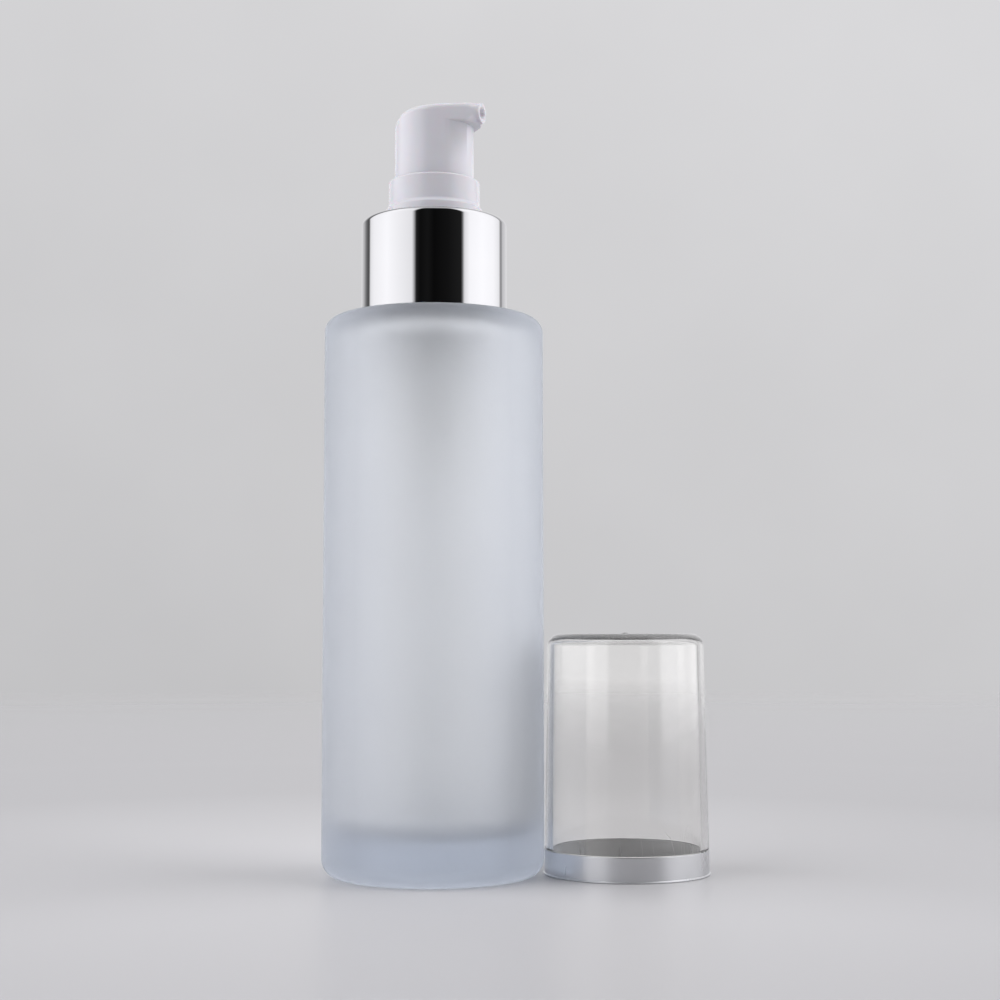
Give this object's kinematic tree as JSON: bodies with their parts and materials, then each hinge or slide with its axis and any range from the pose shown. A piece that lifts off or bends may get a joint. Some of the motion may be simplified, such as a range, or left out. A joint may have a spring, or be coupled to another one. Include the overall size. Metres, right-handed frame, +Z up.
{
  "type": "foundation bottle",
  "caption": "Round frosted glass bottle with flat shoulder, bright metal collar, white push-down pump with short spout, and clear overcap with silver band standing beside it.",
  "frame": {"origin": "centre of the bottle's flat base, on the bottle's axis, at the height of the table", "axes": "+Z up along the bottle's axis, +X towards the overcap and the spout, +Y away from the viewer"},
  "size_m": [0.0737, 0.042, 0.1475],
  "materials": {
    "frosted_glass": "acid-etched satin outside, smooth inside",
    "collar_chrome": "mirror",
    "white_plastic": "gloss moulded polypropylene",
    "natural_plastic": "plain moulded polypropylene",
    "tube_plastic": "extruded polyethylene",
    "gasket_foam": "closed-cell foam",
    "spring_steel": "drawn stainless wire and polished ball",
    "clear_plastic": "clear polished styrene plastic",
    "silver_band": "bright silver"
  },
  "bodies": {
    "bottle": {"glass_bottle": "frosted_glass"},
    "pump": {"pump_housing": "natural_plastic", "guide_ring": "white_plastic", "neck_gasket": "gasket_foam", "ball_retainer": "natural_plastic", "return_spring": "spring_steel", "dip_tube": "tube_plastic"},
    "collar": {"collar_shell": "collar_chrome", "inner_closure": "white_plastic"},
    "stem": {"stem": "white_plastic", "plunger": "natural_plastic"},
    "piston": {"piston": "natural_plastic"},
    "head": {"actuator": "white_plastic"},
    "ball": {"check_ball": "spring_steel"},
    "overcap": {"overcap_shell": "clear_plastic", "overcap_band": "silver_band"}
  },
  "joints": [
    {"name": "pump_rise", "type": "slide", "parent": "bottle", "child": "pump", "axis": [0, 0, 1], "range_m": [0, 0.00476]},
    {"name": "collar_turn", "type": "hinge", "parent": "pump", "child": "collar", "pos_m": [0, 0, 0.1], "axis": [0, 0, 1], "range_deg": [0, 540.01]},
    {"name": "head_press", "type": "slide", "parent": "pump", "child": "stem", "axis": [0, 0, -1], "range_m": [0, 0.006], "stiffness_N_per_m": 900, "deforming": ["return_spring"]},
    {"name": "piston_slip", "type": "slide", "parent": "stem", "child": "piston", "axis": [0, 0, 1], "range_m": [0, 0.0008]},
    {"name": "spout_turn", "type": "hinge", "parent": "stem", "child": "head", "pos_m": [0, 0, 0.14], "axis": [0, 0, 1], "continuous": true},
    {"name": "ball_lift", "type": "slide", "parent": "pump", "child": "ball", "axis": [0, 0, 1], "range_m": [0, 0.0009]},
    {"name": "cap_lift", "type": "slide", "parent": "bottle", "child": "overcap", "axis": [0, 0, 1], "range_m": [0, 0.15]}
  ],
  "couplings": [
    {"joint": "collar_turn", "follows": "pump_rise", "rad_per_m": 1979}
  ]
}
